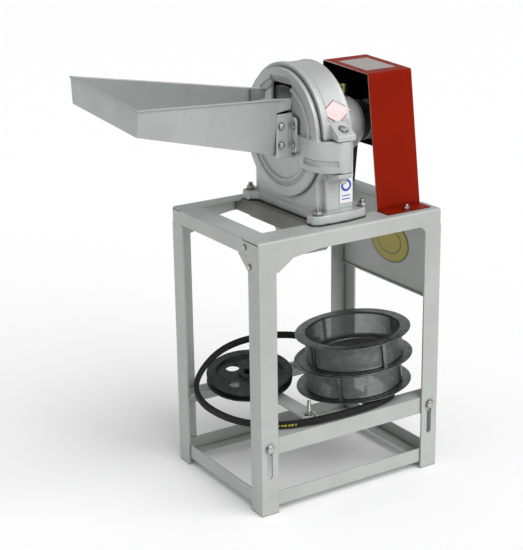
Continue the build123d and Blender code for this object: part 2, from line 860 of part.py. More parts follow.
with BuildPart() as rotor_claws:
    with BuildSketch(yz(82)) as claw_sketch:
        with PolarLocations(80, hammer_count):
            Rectangle(20, 14)
        with PolarLocations(34, pin_count, start_angle=15):
            Circle(5)
    extrude(amount=disc_x - 82)
save(rotor_claws, "rotor_claws")

with BuildPart() as rotor_nut:
    with BuildSketch(yz(92)):
        RegularPolygon(14, 6, major_radius=False)
        Circle(stub_radius, mode=Mode.SUBTRACT)
    extrude(amount=disc_x - 92)
save(rotor_nut, "rotor_nut")

mill_pulley_x = 252
with BuildPart() as mill_pulley:
    with BuildSketch(yz(mill_pulley_x)):
        Circle(42)
    extrude(amount=26)
    with BuildSketch(Plane.XZ):
        with BuildLine():
            groove_x = mill_pulley_x + 13
            Polyline(
                (groove_x - 9, axis_height + 43),
                (groove_x - 5, axis_height + 29),
                (groove_x + 5, axis_height + 29),
                (groove_x + 9, axis_height + 43),
                close=True,
            )
        make_face()
    revolve(axis=mill_axis, mode=Mode.SUBTRACT)
    with BuildSketch(yz(mill_pulley_x)):
        Circle(shaft_radius)
    extrude(amount=26, mode=Mode.SUBTRACT)
    cut_box((mill_pulley_x - 1, -3, axis_height), (mill_pulley_x + 27, 3, axis_height + 16))
save(mill_pulley, "mill_pulley")

with BuildPart() as pulley_key:
    add_box((mill_pulley_x, -3, axis_height + 9), (mill_pulley_x + 26, 3, axis_height + 16))
save(pulley_key, "pulley_key")

with BuildPart() as pulley_nut:
    with BuildSketch(yz(282)):
        Circle(16)
        Circle(stub_radius, mode=Mode.SUBTRACT)
    extrude(amount=2)
    with BuildSketch(yz(284)):
        RegularPolygon(14, 6, major_radius=False)
        Circle(stub_radius, mode=Mode.SUBTRACT)
    extrude(amount=11)
save(pulley_nut, "pulley_nut")

# ---------------------------------------------------------------- door

door_back_x = seam_x - 0.3
rib_x = door_front_x - 1.5
with BuildPart() as door:
    with BuildSketch(yz(door_front_x)):
        Circle(door_radius)
    extrude(amount=door_back_x - door_front_x)
    with BuildSketch(yz(door_front_x)):
        Circle(110)
        Circle(101, mode=Mode.SUBTRACT)
        Circle(95)
    extrude(amount=4, mode=Mode.SUBTRACT)
    # Arm that reaches back along the housing to the hinge knuckle.
    with BuildSketch(Plane.XY.offset(knuckle_low)) as arm:
        with BuildLine():
            Polyline(
                (door_front_x + 1, -64),
                (rib_x - 2, -82),
                (rib_x - 2, -133),
                (hinge_x - 14, hinge_y - 14),
                (hinge_x, hinge_y - hinge_radius),
                (hinge_x, hinge_y + hinge_radius - 1.5),
                (door_back_x, hinge_y + hinge_radius - 1.5),
                (door_back_x, -64),
                close=True,
            )
        make_face()
        fillet(arm.vertices().sort_by_distance((rib_x - 2, -133))[0], 52)
        fillet(arm.vertices().sort_by_distance((hinge_x - 14, hinge_y - 14))[0], 24)
    extrude(amount=knuckle_top - knuckle_low)
    with BuildSketch(Plane.XY.offset(knuckle_low + 13)):
        with BuildLine():
            Polyline(
                (46, -86),
                (46, -150),
                (80, -180),
                (87, -159),
                (75, -148.5),
                (67, -141.8),
                (62, -135.5),
                (58, -126),
                (56.5, -112),
                (56.5, -86),
                close=True,
            )
        make_face()
    extrude(amount=12, mode=Mode.SUBTRACT)
    with BuildSketch(Plane.XY.offset(knuckle_low)):
        with Locations((hinge_x, hinge_y)):
            Circle(hinge_radius)
    extrude(amount=knuckle_top - knuckle_low)
    # Far lug with the fork that takes the swing bolt.
    add_box((door_front_x, 112, axis_height - 18), (door_back_x, 160, axis_height + 18))
    cut_box((door_front_x - 1, 140, axis_height - 7), (door_back_x + 1, 170, axis_height + 7))
    # Feed mouth; its roof slopes down to the chamber side.
    with BuildSketch(Plane.XZ.offset(mouth_half)):
        with BuildLine():
            Polyline(
                (door_front_x - 9, mouth_low),
                (seam_x, mouth_low),
                (seam_x, mouth_top - 20),
                (door_front_x, mouth_top),
                (door_front_x - 9, mouth_top),
                close=True,
            )
        make_face()
    extrude(amount=-2 * mouth_half, mode=Mode.SUBTRACT)
    # Keep the chamber side flat behind the arm.
    cut_holes(Plane.XY.offset(720), [(hinge_x, hinge_y)], hinge_pin_radius + fit, 40)
save(door, "door")

fixed_disc_x = door_back_x
with BuildPart() as fixed_disc:
    with BuildSketch(yz(fixed_disc_x)):
        Circle(94)
    extrude(amount=7)
    with BuildSketch(yz(fixed_disc_x)):
        with PolarLocations(55, 8, start_angle=22.5):
            Rectangle(11, 11)
    extrude(amount=98 - fixed_disc_x)
    cut_box((fixed_disc_x - 1, -mouth_half, mouth_low), (fixed_disc_x + 8, mouth_half, axis_height + 44))
save(fixed_disc, "fixed_disc")

box_low = 704
box_top = 794
box_half = 47
with BuildPart() as feed_box:
    add_box((tray_joint_x + 0.5, -box_half, box_low), (door_front_x, box_half, box_top))
    cut_box((tray_joint_x, 6 - box_half, box_low + 8), (door_front_x + 1, box_half - 6, box_top + 1))
    with BuildSketch(yz(door_front_x - 6)):
        with Locations((0, 5)):
            RectangleRounded(132, 72, 9)
        with Locations((0, 9)):
            Rectangle(2 * box_half - 12, 92, mode=Mode.SUBTRACT)
    extrude(amount=6)
    cross_points = [(tray_joint_x + 11, z) for z in (732, 770)]
    cut_holes(Plane.XZ, cross_points, m6_hole, 60)
    face_points = [(s * 58, z - axis_height) for s in (-1, 1) for z in (732, 770)]
    cut_holes(yz(door_front_x - 6), face_points, 3, 8)
save(feed_box, "feed_box")

# Tray: a lofted sheet-metal channel, rolled a little about its length.
roll_axis_z = 800
roll_y = Vector(0, cos(radians(tray_roll)), sin(radians(tray_roll)))
roll_z = Vector(0, -sin(radians(tray_roll)), cos(radians(tray_roll)))


def tray_plane(x):
    """Cross-section plane of the tray at this x."""
    return Plane(origin=(x, 0, roll_axis_z), x_dir=roll_y, z_dir=(1, 0, 0))


rim_radius = 2
tray_end_x = stand_left - tray_overhang + rim_radius
tray_sections = {
    tray_end_x: (139, 72, 131, 21),
    tray_joint_x: (51, 29, 46, -85),
}


def tray_outline(x, inset):
    """Corner points of the tray's cross-section; inset thins it by the sheet."""
    rim_half, rim_z, floor_half, floor_z = tray_sections[x]
    rise = rim_radius * 3 if inset else 0
    return [
        (-rim_half + inset, rim_z + rise),
        (-floor_half + inset, floor_z + inset),
        (floor_half - inset, floor_z + inset),
        (rim_half - inset, rim_z + rise),
    ]


def tray_point(x, y, z):
    """Point of the rolled tray, from its own y and z."""
    return Vector(x, 0, roll_axis_z) + roll_y * y + roll_z * z


with BuildPart() as hopper:
    for x in (tray_end_x, tray_joint_x):
        with BuildSketch(tray_plane(x)):
            with BuildLine():
                Polyline(*tray_outline(x, 0), close=True)
            make_face()
    loft()
    shell_sections = []
    for x in (tray_end_x, tray_joint_x):
        place = tray_plane(x + (tray_wall if x < 0 else -tray_wall))
        with BuildSketch(place, mode=Mode.PRIVATE) as hollow:
            with BuildLine():
                Polyline(*tray_outline(x, tray_wall), close=True)
            make_face()
        shell_sections.append(hollow.sketch)
    loft(shell_sections, mode=Mode.SUBTRACT)
    # Door end: the sheet turns in and runs on into the feed box.
    tab_half = box_half - 6 - tray_wall
    cut_box((tray_joint_x - 8, -tab_half, 716), (tray_joint_x + 1, tab_half, 850))
    for flank in (-1, 1):
        low_y = min(flank * tab_half, flank * (tab_half + tray_wall))
        high_y = max(flank * tab_half, flank * (tab_half + tray_wall))
        add_box((tray_joint_x - 2, low_y, 718), (tray_joint_x + 24, high_y, 788))
    for flank in (-1, 1):
        with BuildSketch(Plane.XZ.offset(0), mode=Mode.PRIVATE) as cheek:
            with BuildLine():
                Polyline(
                    (tray_joint_x - 3, 801),
                    (tray_joint_x + 33, 806),
                    (tray_joint_x + 35, 826.5),
                    (tray_joint_x - 3, 828),
                    close=True,
                )
            make_face()
        cheek_face = cheek.sketch.rotate(Axis((0, 0, roll_axis_z), (1, 0, 0)), tray_roll)
        cheek_face = cheek_face.moved(Location((0, flank * 47.5, flank * 47.5 * tan(radians(tray_roll)))))
        extrude(cheek_face, amount=tray_wall, both=True)
    rim_route = [
        tray_point(tray_joint_x + 35, -45, 25),
        tray_point(tray_joint_x, -51, 29),
        tray_point(tray_end_x, -139, 72),
        tray_point(tray_end_x, 139, 72),
        tray_point(tray_joint_x, 51, 29),
        tray_point(tray_joint_x + 35, 45, 25),
    ]
    for start, end in zip(rim_route, rim_route[1:]):
        with BuildSketch(Plane(origin=start, z_dir=end - start)) as bead:
            Circle(rim_radius)
        extrude(bead.sketch, amount=(end - start).length)
    with Locations(*rim_route[1:-1]):
        Sphere(rim_radius)
    cut_holes(Plane.XZ, cross_points, m6_hole, 60)
save(hopper, "hopper")

cross_bolt = bolt_set(3, 10, 4, box_half - tab_half, 2)
face_screw = bolt_set(3, 10, 4, 0.5, 6)
with BuildPart() as feed_bolts:
    for flank in (-1, 1):
        turn = 90 if flank < 0 else -90
        spots = [Location((x, flank * tab_half, z), (turn, 0, 0)) for x, z in cross_points]
        with Locations(*spots):
            add(cross_bolt)
    for y, z in face_points:
        with Locations(Location((door_front_x - 6, y, z + axis_height), (0, 90, 0))):
            Cylinder(3, 8, align=(Align.CENTER, Align.CENTER, Align.MIN))
            Cylinder(6, 4, align=(Align.CENTER, Align.CENTER, Align.MAX))
save(feed_bolts, "feed_bolts")

# ---------------------------------------------------------------- swing bolt, stored released

clamp_reach = 78
knob_start = 60
with BuildPart() as clamp_pin:
    with BuildSketch(Plane.XY.offset(axis_height - 17)):
        with Locations((clamp_x, clamp_y)):
            Circle(clamp_pin_radius)
    extrude(amount=34)
save(clamp_pin, "clamp_pin")

with BuildPart() as swing_bolt:
    with BuildSketch(Plane.XY.offset(axis_height - 6)):
        with Locations((clamp_x, clamp_y)):
            Circle(9)
    extrude(amount=12)
    with BuildSketch(Plane(origin=(clamp_x + 5, clamp_y, axis_height), z_dir=(1, 0, 0))):
        Circle(5)
    extrude(amount=clamp_reach)
    with BuildSketch(Plane.XY.offset(axis_height - 6)):
        with Locations((clamp_x, clamp_y)):
            Circle(clamp_pin_radius + fit)
    extrude(amount=12, mode=Mode.SUBTRACT)
save(swing_bolt, "swing_bolt")

with BuildPart() as clamp_knob:
    with BuildSketch(Plane(origin=(clamp_x + knob_start, clamp_y, axis_height), z_dir=(1, 0, 0))):
        Circle(16)
        with PolarLocations(18, 6):
            Circle(5, mode=Mode.SUBTRACT)
        Circle(5 + fit, mode=Mode.SUBTRACT)
    extrude(amount=16)
save(clamp_knob, "clamp_knob")
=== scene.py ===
import math

import bmesh
import bpy
from mathutils import Matrix, Vector, noise


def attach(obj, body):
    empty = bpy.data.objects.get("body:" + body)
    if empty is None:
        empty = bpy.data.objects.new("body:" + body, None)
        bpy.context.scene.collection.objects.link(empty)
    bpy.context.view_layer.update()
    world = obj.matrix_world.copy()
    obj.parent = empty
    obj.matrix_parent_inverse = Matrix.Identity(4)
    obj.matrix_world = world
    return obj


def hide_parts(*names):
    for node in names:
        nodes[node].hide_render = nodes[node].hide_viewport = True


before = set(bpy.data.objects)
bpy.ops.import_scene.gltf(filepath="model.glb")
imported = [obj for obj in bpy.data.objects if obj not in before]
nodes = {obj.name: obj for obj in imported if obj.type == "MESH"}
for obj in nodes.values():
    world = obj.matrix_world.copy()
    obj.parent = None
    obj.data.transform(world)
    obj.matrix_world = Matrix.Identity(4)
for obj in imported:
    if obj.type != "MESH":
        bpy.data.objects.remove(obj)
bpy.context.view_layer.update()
scene = bpy.context.scene

MM = 0.001
TAU = 2 * math.pi
AXIS_Z = 0.746


# ---------------------------------------------------------------- shader helpers


class Shader:
    """A Principled material with short calls for the nodes it needs."""

    def __init__(self, name, colour, rough, metal=0.0, **sockets):
        self.material = bpy.data.materials.new(name)
        self.material.use_nodes = True
        self.tree = self.material.node_tree
        self.bsdf = self.tree.nodes["Principled BSDF"]
        self.bsdf.inputs["Base Color"].default_value = (*colour, 1)
        self.bsdf.inputs["Roughness"].default_value = rough
        self.bsdf.inputs["Metallic"].default_value = metal
        for key, value in sockets.items():
            self.bsdf.inputs[key.replace("_", " ")].default_value = value
        self.height = None
        self.coords = self.node("ShaderNodeTexCoord").outputs["Object"]

    def node(self, kind, **values):
        made = self.tree.nodes.new(kind)
        for key, value in values.items():
            if hasattr(made, key):
                setattr(made, key, value)
            else:
                made.inputs[key].default_value = value
        return made

    def link(self, out, to):
        self.tree.links.new(out, to)

    def mapped(self, scale):
        made = self.node("ShaderNodeMapping")
        made.inputs["Scale"].default_value = scale
        self.link(self.coords, made.inputs["Vector"])
        return made.outputs["Vector"]

    def noise(self, scale, detail=3, rough=0.55, vector=None):
        made = self.node("ShaderNodeTexNoise")
        made.inputs["Scale"].default_value = scale
        made.inputs["Detail"].default_value = detail
        made.inputs["Roughness"].default_value = rough
        self.link(vector or self.coords, made.inputs["Vector"])
        return made.outputs["Fac"]

    def voronoi(self, scale):
        made = self.node("ShaderNodeTexVoronoi", feature="F1")
        made.inputs["Scale"].default_value = scale
        self.link(self.coords, made.inputs["Vector"])
        return made.outputs["Distance"]

    def ramp(self, fac, *stops):
        made = self.node("ShaderNodeValToRGB")
        elements = made.color_ramp.elements
        while len(elements) < len(stops):
            elements.new(0.5)
        for element, (at, value) in zip(elements, stops):
            element.position = at
            if isinstance(value, (int, float)):
                value = (value, value, value)
            element.color = (*value, 1)
        self.link(fac, made.inputs["Fac"])
        return made.outputs["Color"]

    def mix(self, fac, a, b, blend="MIX"):
        made = self.node("ShaderNodeMix", data_type="RGBA", blend_type=blend)
        for value, key in ((fac, 0), (a, 6), (b, 7)):
            if isinstance(value, bpy.types.NodeSocket):
                self.link(value, made.inputs[key])
            elif key == 0:
                made.inputs[key].default_value = value
            else:
                made.inputs[key].default_value = (*value, 1)
        return made.outputs[2]

    def corner_shade(self, distance=0.012, low=0.55, high=0.95):
        """Mask for painted shade: dark in corners and gaps, white on open faces."""
        made = self.node("ShaderNodeAmbientOcclusion", samples=4)
        made.inputs["Distance"].default_value = distance
        return self.ramp(made.outputs["AO"], (low, 0.0), (high, 1.0))

    def colour(self, out):
        self.link(out, self.bsdf.inputs["Base Color"])

    def rough(self, fac, low, high):
        self.link(self.ramp(fac, (0.3, low), (0.7, high)), self.bsdf.inputs["Roughness"])

    def bump(self, fac, strength, distance):
        made = self.node("ShaderNodeBump")
        made.inputs["Strength"].default_value = strength
        made.inputs["Distance"].default_value = distance
        self.link(fac, made.inputs["Height"])
        if self.height is not None:
            self.link(self.height, made.inputs["Normal"])
        self.height = made.outputs["Normal"]
        self.link(self.height, self.bsdf.inputs["Normal"])

    def soften(self, radius):
        """Rounds hard edges in the shading; goes before any bump."""
        made = self.node("ShaderNodeBevel", samples=4)
        made.inputs["Radius"].default_value = radius
        self.height = made.outputs["Normal"]
        self.link(self.height, self.bsdf.inputs["Normal"])


def paint(
    name, colour, shade_colour, rough, grain, grain_depth, metal=0.0, edge=0.0012, shine=0.5, blotch=0.06, gap=0.008
):
    """Sprayed paint: uneven tone, fine orange peel and painted shade in the corners."""
    s = Shader(name, colour, rough, metal, Specular_IOR_Level=shine)
    light = [min(1, c * (1 + blotch)) for c in colour]
    deep = [c * (1 - blotch) for c in colour]
    tone = s.mix(s.ramp(s.noise(9, 5), (0.35, 0.0), (0.65, 1.0)), deep, light)
    scuff = s.ramp(s.noise(60, 8, 0.7), (0.62, 0.0), (0.72, 1.0))
    tone = s.mix(scuff, tone, [c * 0.86 for c in colour])
    # Painted shade: corners and gaps take the darker second colour.
    s.colour(s.mix(s.corner_shade(gap), shade_colour, tone))
    s.rough(s.noise(35, 4), rough - 0.05, rough + 0.08)
    if edge:
        s.soften(edge)
    s.bump(s.noise(grain, 3, 0.6), 0.5, grain_depth)
    return s.material


def bare_metal(name, colour, rough, scale, depth, tint=None, brush=None, edge=0.0006):
    """Bare or plated metal with cast, rolled or turned marks, and painted shade in its crevices."""
    s = Shader(name, colour, rough, 1.0)
    fleck = s.ramp(s.noise(scale * 0.25, 6, 0.65), (0.35, 0.0), (0.7, 1.0))
    tone = s.mix(fleck, colour, tint or [c * 0.7 for c in colour])
    # Painted shade: crevices darken towards a third of the metal's colour.
    s.colour(s.mix(s.corner_shade(0.006, 0.4, 0.9), [c * 0.35 for c in colour], tone))
    s.rough(s.noise(scale * 0.4, 4), rough - 0.08, rough + 0.12)
    if edge:
        s.soften(edge)
    vector = s.mapped(brush) if brush else None
    s.bump(s.noise(scale, 4, 0.6, vector), 0.45, depth)
    return s.material


# In each paint() call the second colour is the painted shade for corners and gaps.
STAND_GREY = (0.42, 0.438, 0.425)
CAST_GREY = (0.46, 0.482, 0.476)
stand_paint = paint("stand_paint", STAND_GREY, (0.26, 0.265, 0.255), 0.38, 420, 0.0003, 0.1, gap=0.006)
cast_paint = paint("cast_paint", CAST_GREY, (0.16, 0.167, 0.162), 0.38, 330, 0.0012, 0.3, 0, blotch=0.08)
tray_paint = paint("tray_paint", (0.40, 0.417, 0.412), (0.17, 0.175, 0.17), 0.38, 300, 0.0004, 0.25, 0.0008)
GUARD_RED = (0.23, 0.0085, 0.0005)
GUARD_BLACK = (0.0035, 0.0035, 0.003)
guard_red = paint("guard_red", GUARD_RED, (0.10, 0.004, 0.0005), 0.36, 240, 0.0003, 0, 0.0012, 0.07)
guard_black = paint("guard_black", GUARD_BLACK, (0.002, 0.002, 0.002), 0.5, 300, 0.0004, 0, 0, 0.15)
# Light bare metal for the guard's front sheet edges: a painted highlight along the edge.
guard_edge_highlight = bare_metal("guard_edge_highlight", (0.55, 0.52, 0.50), 0.45, 400, 0.0002, (0.45, 0.22, 0.16))
sieve_steel = bare_metal("sieve_steel", (0.30, 0.312, 0.312), 0.36, 300, 0.0002, (0.17, 0.177, 0.177))
sieve_rim = bare_metal("sieve_rim", (0.26, 0.270, 0.268), 0.32, 240, 0.0003, (0.12, 0.125, 0.124))
black_iron = bare_metal("black_iron", (0.10, 0.106, 0.104), 0.42, 260, 0.0008, (0.05, 0.053, 0.052), edge=0)
dark_iron = bare_metal("dark_iron", (0.20, 0.206, 0.20), 0.40, 300, 0.0005, (0.10, 0.103, 0.10))
bright_steel = bare_metal("bright_steel", (0.56, 0.555, 0.54), 0.24, 900, 0.0001, None, (6, 1, 1))
zinc = bare_metal("zinc", (0.60, 0.60, 0.585), 0.27, 700, 0.0001, (0.42, 0.41, 0.37), None, 0)
brass = bare_metal("brass", (0.34, 0.33, 0.12), 0.34, 600, 0.0001, (0.22, 0.20, 0.07))
gasket = paint("gasket", (0.035, 0.035, 0.033), (0.015, 0.015, 0.015), 0.75, 500, 0.0003, 0, 0)
felt = paint("felt", (0.20, 0.18, 0.15), (0.08, 0.07, 0.06), 0.9, 1400, 0.0006, 0, 0)
# Darker copy of the stand paint for the cross plate under the mill: painted shade beneath the base flange.
SHADED_PLATE_GREY = (0.16, 0.163, 0.15)
shaded_plate_paint = paint("shaded_plate_paint", SHADED_PLATE_GREY, (0.06, 0.06, 0.05), 0.45, 420, 0.0004, 0.1, blotch=0.25)
plastic = paint("knob_plastic", (0.018, 0.018, 0.020), (0.008, 0.008, 0.008), 0.38, 500, 0.0002, 0, 0.001)


def plain_print(name, colour):
    """Printed label film: nearly flat, with a faint fibre and ripple."""
    s = Shader(name, colour, 0.35)
    s.colour(s.mix(s.ramp(s.noise(260, 4), (0.4, 0.0), (0.7, 1.0)), colour, [c * 0.88 for c in colour]))
    s.bump(s.noise(120, 2), 0.25, 0.0002)
    return s.material


print_white = plain_print("print_white", (0.80, 0.80, 0.79))
print_pink = plain_print("print_pink", (0.80, 0.62, 0.63))
print_maroon = plain_print("print_maroon", (0.30, 0.018, 0.035))
print_blue = plain_print("print_blue", (0.02, 0.075, 0.42))
print_yellow = plain_print("print_yellow", (0.42, 0.36, 0.035))
print_green = plain_print("print_green", (0.09, 0.11, 0.02))
print_silver = plain_print("print_silver", (0.36, 0.33, 0.32))


# ---------------------------------------------------------------- mesh helpers


def new_piece(name, bm, body, slot, *materials, replaces=(), smooth=True, angle=38):
    """Turns a bmesh, in metres in the row frame, into a piece that rides on a body."""
    mesh = bpy.data.meshes.new(name)
    bmesh.ops.recalc_face_normals(bm, faces=bm.faces[:])
    bm.to_mesh(mesh)
    bm.free()
    for material in materials:
        mesh.materials.append(material)
    obj = bpy.data.objects.new(name, mesh)
    scene.collection.objects.link(obj)
    if smooth:
        shade(obj, angle)
    if replaces:
        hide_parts(*replaces)
    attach(obj, body)
    return obj


def shade(obj, angle=38):
    """Smooth faces, with creases where they meet at more than the angle."""
    mesh = obj.data
    mesh.polygons.foreach_set("use_smooth", [True] * len(mesh.polygons))
    bm = bmesh.new()
    bm.from_mesh(mesh)
    limit = math.radians(angle)
    for edge in bm.edges:
        edge.smooth = len(edge.link_faces) != 2 or edge.calc_face_angle(0) < limit
    bm.to_mesh(mesh)
    bm.free()


def dress(material, *names):
    """Gives CAD nodes their material and smooth shading."""
    for name in names:
        node = nodes[name]
        node.data.materials.clear()
        node.data.materials.append(material)
        shade(node, 30)


def evaluated(obj):
    """Applies the object's modifiers to its mesh."""
    bpy.context.view_layer.update()
    graph = bpy.context.evaluated_depsgraph_get()
    mesh = bpy.data.meshes.new_from_object(obj.evaluated_get(graph))
    obj.modifiers.clear()
    old = obj.data
    obj.data = mesh
    bpy.data.meshes.remove(old)


def casting(node, name, body, material, voxel=0.0016, rounds=5, uneven=0.00025, carve=None):
    """CAD nodes as they come out of the sand: rounded edges, small fillets and an uneven skin."""
    bm = bmesh.new()
    for part in node.split():
        bm.from_mesh(nodes[part].data)
    mesh = bpy.data.meshes.new(name)
    bm.to_mesh(mesh)
    bm.free()
    obj = bpy.data.objects.new(name, mesh)
    scene.collection.objects.link(obj)
    remesh = obj.modifiers.new("skin", "REMESH")
    remesh.mode = "VOXEL"
    remesh.voxel_size = voxel
    smooth = obj.modifiers.new("round", "SMOOTH")
    smooth.factor = 0.5
    smooth.iterations = rounds
    evaluated(obj)
    mesh = obj.data
    normals = [v.normal.copy() for v in mesh.vertices]
    for v, n in zip(mesh.vertices, normals):
        if carve:
            carve(v)
        v.co += n * (uneven * noise.fractal(v.co * 45, 1.0, 2.0, 3))
    mesh.polygons.foreach_set("use_smooth", [True] * len(mesh.polygons))
    mesh.materials.clear()
    mesh.materials.append(material)
    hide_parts(*node.split())
    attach(obj, body)
    return obj


def lathe(bm, profile, at, axis, segments=32, closed=True):
    """Revolves (radius, height) points about an axis through at."""
    turn = Vector((0, 0, 1)).rotation_difference(Vector(axis).normalized()).to_matrix()
    rings = []
    for radius, height in profile:
        ring = []
        for i in range(segments):
            a = TAU * i / segments
            local = Vector((radius * math.cos(a), radius * math.sin(a), height))
            ring.append(bm.verts.new(Vector(at) + turn @ local))
        rings.append(ring)
    count = len(rings) if closed else len(rings) - 1
    for i in range(count):
        a, b = rings[i], rings[(i + 1) % len(rings)]
        for j in range(segments):
            k = (j + 1) % segments
            bm.faces.new((a[j], a[k], b[k], b[j]))


def cap_ring(bm, ring, material=0):
    face = bm.faces.new(ring)
    face.material_index = material


HEX_CHAMFER = 0.12
HEX_SEGMENTS = 24


def hex_body(bm, at, axis, flats, low, high, twist=0.0):
    """Hexagonal head or nut with turned-down corners."""
    turn = Vector((0, 0, 1)).rotation_difference(Vector(axis).normalized()).to_matrix()
    corner = flats / math.sqrt(3)
    inner = flats * 0.47
    drop = (high - low) * HEX_CHAMFER
    rings = []
    for radius, height in ((inner, low), (None, low + drop), (None, high - drop), (inner, high)):
        ring = []
        for i in range(HEX_SEGMENTS):
            a = TAU * i / HEX_SEGMENTS + twist
            if radius is None:
                part = (a - twist) % (TAU / 6) - TAU / 12
                r = min(flats / 2 / math.cos(part), corner * 0.985)
            else:
                r = radius
            local = Vector((r * math.cos(a), r * math.sin(a), height))
            ring.append(bm.verts.new(Vector(at) + turn @ local))
        rings.append(ring)
    for a, b in zip(rings, rings[1:]):
        for j in range(HEX_SEGMENTS):
            k = (j + 1) % HEX_SEGMENTS
            bm.faces.new((a[j], a[k], b[k], b[j]))
    cap_ring(bm, rings[0])
    cap_ring(bm, rings[-1])


def thread(bm, at, axis, radius, low, high, pitch):
    """Threaded end as a row of ridges."""
    profile = [(0.0002, low), (radius * 0.86, low)]
    count = max(2, round((high - low) / pitch))
    step = (high - low) / count
    for i in range(count):
        profile.append((radius, low + step * (i + 0.4)))
        profile.append((radius * 0.86, low + step * (i + 0.95)))
    profile += [(radius * 0.7, high), (0.0002, high)]
    lathe(bm, profile, at, axis, 16, closed=False)


def bolt(bm, at, axis, r, flats, head, grip, tail, head_washer=False, twist=0.0):
    """Hex bolt, washers and nut; the head's face is at `at` and the shank runs along the axis."""
    washer = 1.5 * MM
    hex_body(bm, at, axis, flats, -head, 0, twist)
    lathe(bm, [(0.0002, 0), (r, 0), (r, grip), (0.0002, grip)], at, axis, 16, closed=False)
    rings = [(r, grip), (flats * 0.6, grip), (flats * 0.6, grip + washer), (r, grip + washer)]
    lathe(bm, rings, at, axis, 32)
    if head_washer:
        lathe(bm, [(r, -washer), (flats * 0.62, -washer), (flats * 0.62, 0), (r, 0)], at, axis, 32)
    hex_body(bm, at, axis, flats, grip + washer, grip + washer + head, twist + 0.4)
    top = grip + washer + head
    thread(bm, at, axis, r, grip, top + tail, max(0.8 * MM, r * 0.26))


WELD_SIDES = 8


def weld(bm, start, end, radius, step):
    """Weld bead laid from start to end in overlapping ripples."""
    start, end = Vector(start), Vector(end)
    count = max(3, int((end - start).length / step))
    points = [start.lerp(end, i / count) for i in range(count + 1)]
    rings = []
    direction = (end - start).normalized()
    side = direction.cross(Vector((0.13, 0.27, 0.95))).normalized()
    up = side.cross(direction)
    for i, here in enumerate(points):
        for part, swell in ((0.0, 0.82), (0.5, 1.0)):
            if i == count and part:
                continue
            centre = here + direction * (part * step)
            r = radius * swell * (1 + 0.18 * noise.noise(centre * 260))
            if i in (0, count):
                r *= 0.5
            ring = []
            for k in range(WELD_SIDES):
                a = TAU * k / WELD_SIDES
                ring.append(bm.verts.new(centre + side * (r * math.cos(a)) + up * (r * math.sin(a))))
            rings.append(ring)
    for a, b in zip(rings, rings[1:]):
        for j in range(WELD_SIDES):
            k = (j + 1) % WELD_SIDES
            bm.faces.new((a[j], a[k], b[k], b[j]))
    cap_ring(bm, rings[0])
    cap_ring(bm, rings[-1])


def plate(bm, outline, place, thickness, material=0):
    """Thin plate: outline points (u, v) sent through place(u, v, height)."""
    low = [bm.verts.new(place(u, v, 0)) for u, v in outline]
    high = [bm.verts.new(place(u, v, thickness)) for u, v in outline]
    for ring in (low, high):
        cap_ring(bm, ring, material)
    for i in range(len(outline)):
        j = (i + 1) % len(outline)
        face = bm.faces.new((low[i], low[j], high[j], high[i]))
        face.material_index = material


# ---------------------------------------------------------------- stand and shelf

dress(
    stand_paint,
    "leg_near_front",
    "leg_near_rear",
    "leg_far_front",
    "leg_far_rear",
    "top_rail_near",
    "top_rail_far",
    "top_rail_front",
    "top_rail_rear",
    "bottom_rail_near",
    "bottom_rail_far",
    "bottom_rail_front",
    "bottom_rail_rear",
    "corner_gusset",
    "rear_panel",
    "discharge_chute",
    "shelf_rail_near",
    "shelf_rail_far",
    "shelf_bars",
)
# The cross plate takes the darker copy of the stand paint as painted shade.
dress(shaded_plate_paint, "mill_cross_plate")
dress(gasket, "base_gasket")
dress(felt, "shaft_seal")
dress(bright_steel, "shaft_bearings", "main_shaft", "hinge_pin", "clamp_pin", "pulley_key")
dress(dark_iron, "claw_disc", "rotor_claws", "fixed_disc", "mill_pulley")
dress(brass, "grease_cup", "grease_cap")
dress(plastic, "clamp_knob")
dress(zinc, "rotor_nut", "pulley_nut", "cover_screws", "swing_bolt")
dress(cast_paint, "bearing_cover")
dress(tray_paint, "hopper")

# The stand's ends and half width, and the underside of its table flanges.
LEFT, RIGHT, SIDE = -0.106, 0.340, 0.169
TABLE_UNDER = 0.576
CORNERS = ((-1, -1), (1, -1), (-1, 1), (1, 1))
END = {-1: LEFT, 1: RIGHT}

# Shank radii of the bolts.
M6, M8, M10 = 0.003, 0.004, 0.005

bm = bmesh.new()
for u, v in ((33, 526), (50, 562)):
    at = (LEFT, u * MM - SIDE, v * MM)
    bolt(bm, at, (1, 0, 0), M6, 0.010, 0.004, 0.007, 0.003, twist=u * 0.1)
new_piece("gusset_fasteners", bm, "stand_and_mill", "zinc", zinc, replaces=["gusset_bolts"])

bm = bmesh.new()
for end, flank in CORNERS:
    at = (END[end] - end * 0.020, flank * (SIDE + 0.0002), 0.148)
    bolt(bm, at, (0, -flank, 0), M10, 0.016, 0.0065, 0.0074, 0.006, True, 0.2 * end)
new_piece("shelf_clamp_fasteners", bm, "motor_shelf", "zinc", zinc, replaces=["shelf_clamp_bolts"])

# The two flat bars of the shelf, along x.
BAR_XS = (0.048, 0.194)

bm = bmesh.new()
for x in BAR_XS:
    for y in (-0.138, 0.138):
        bolt(bm, (x, y, 0.162), (0, 0, 1), M8, 0.013, 0.005, 0.007, 0.003)
new_piece("bar_fasteners", bm, "motor_shelf", "zinc", zinc, replaces=["bar_bolts"])

bm = bmesh.new()
for x in BAR_XS:
    bolt(bm, (x, -0.111, 0.165), (0, 0, 1), M8, 0.013, 0.005, 0.004, 0.024)
new_piece("motor_fasteners", bm, "motor_shelf", "zinc", zinc, replaces=["motor_bolts"])

